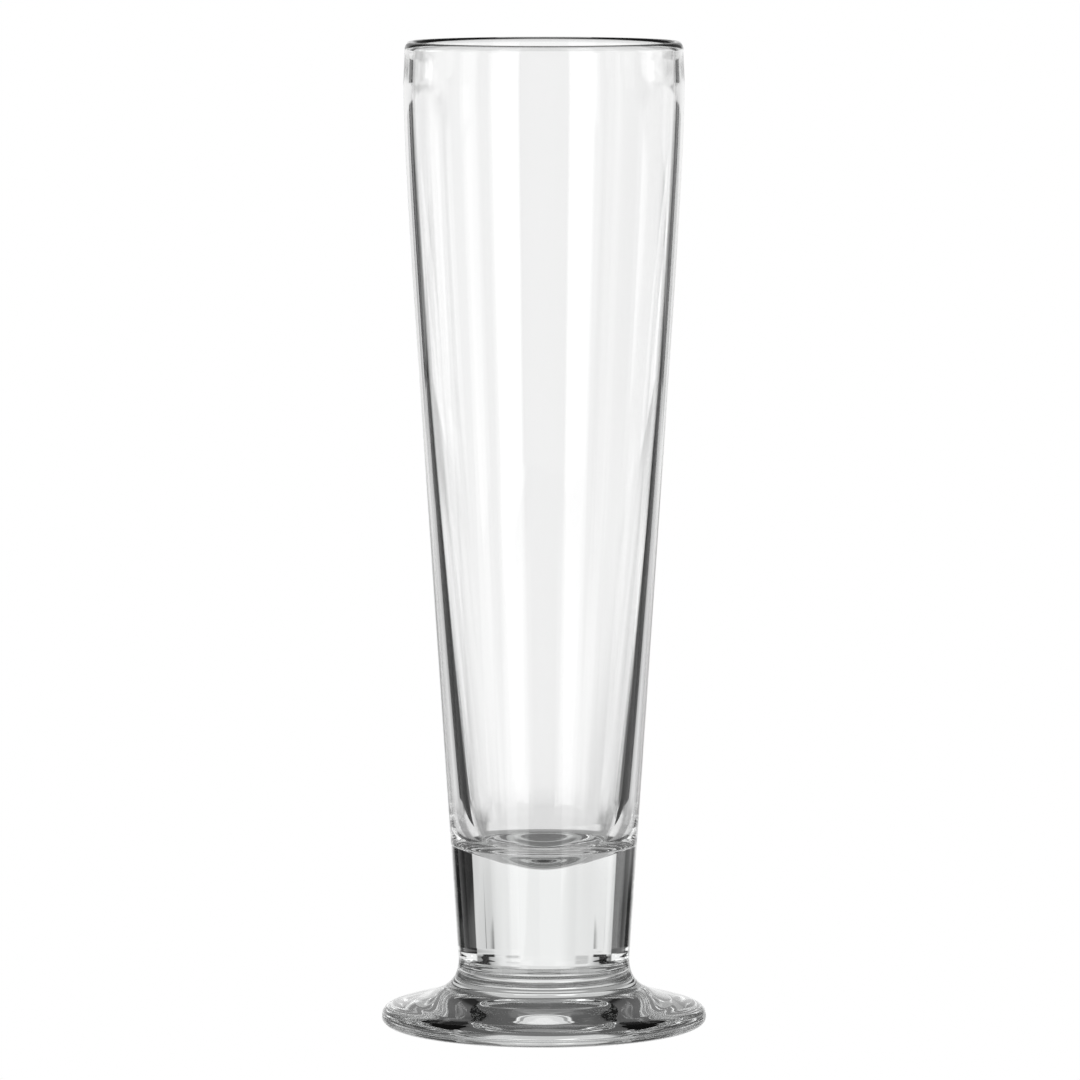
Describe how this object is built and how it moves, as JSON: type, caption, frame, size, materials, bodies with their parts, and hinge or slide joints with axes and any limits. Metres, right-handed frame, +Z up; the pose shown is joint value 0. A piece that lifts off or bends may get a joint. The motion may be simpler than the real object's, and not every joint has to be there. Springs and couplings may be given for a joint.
{
  "type": "beer glass",
  "caption": "Tall clear beer glass: a slender bowl that widens upwards from a thick hollowed bottom, on a short solid shank and a round flared foot.",
  "frame": {"origin": "middle of the flat ring that the glass stands on, on its axis", "axes": "+Z up the axis from the foot to the mouth; the glass is round, so +X and +Y are alike"},
  "size_m": [0.0784, 0.0784, 0.2381],
  "materials": {
    "glass": "clear and colourless, fire-polished"
  },
  "bodies": {
    "root": {"bowl": "glass", "shank": "glass", "foot": "glass"}
  },
  "joints": []
}
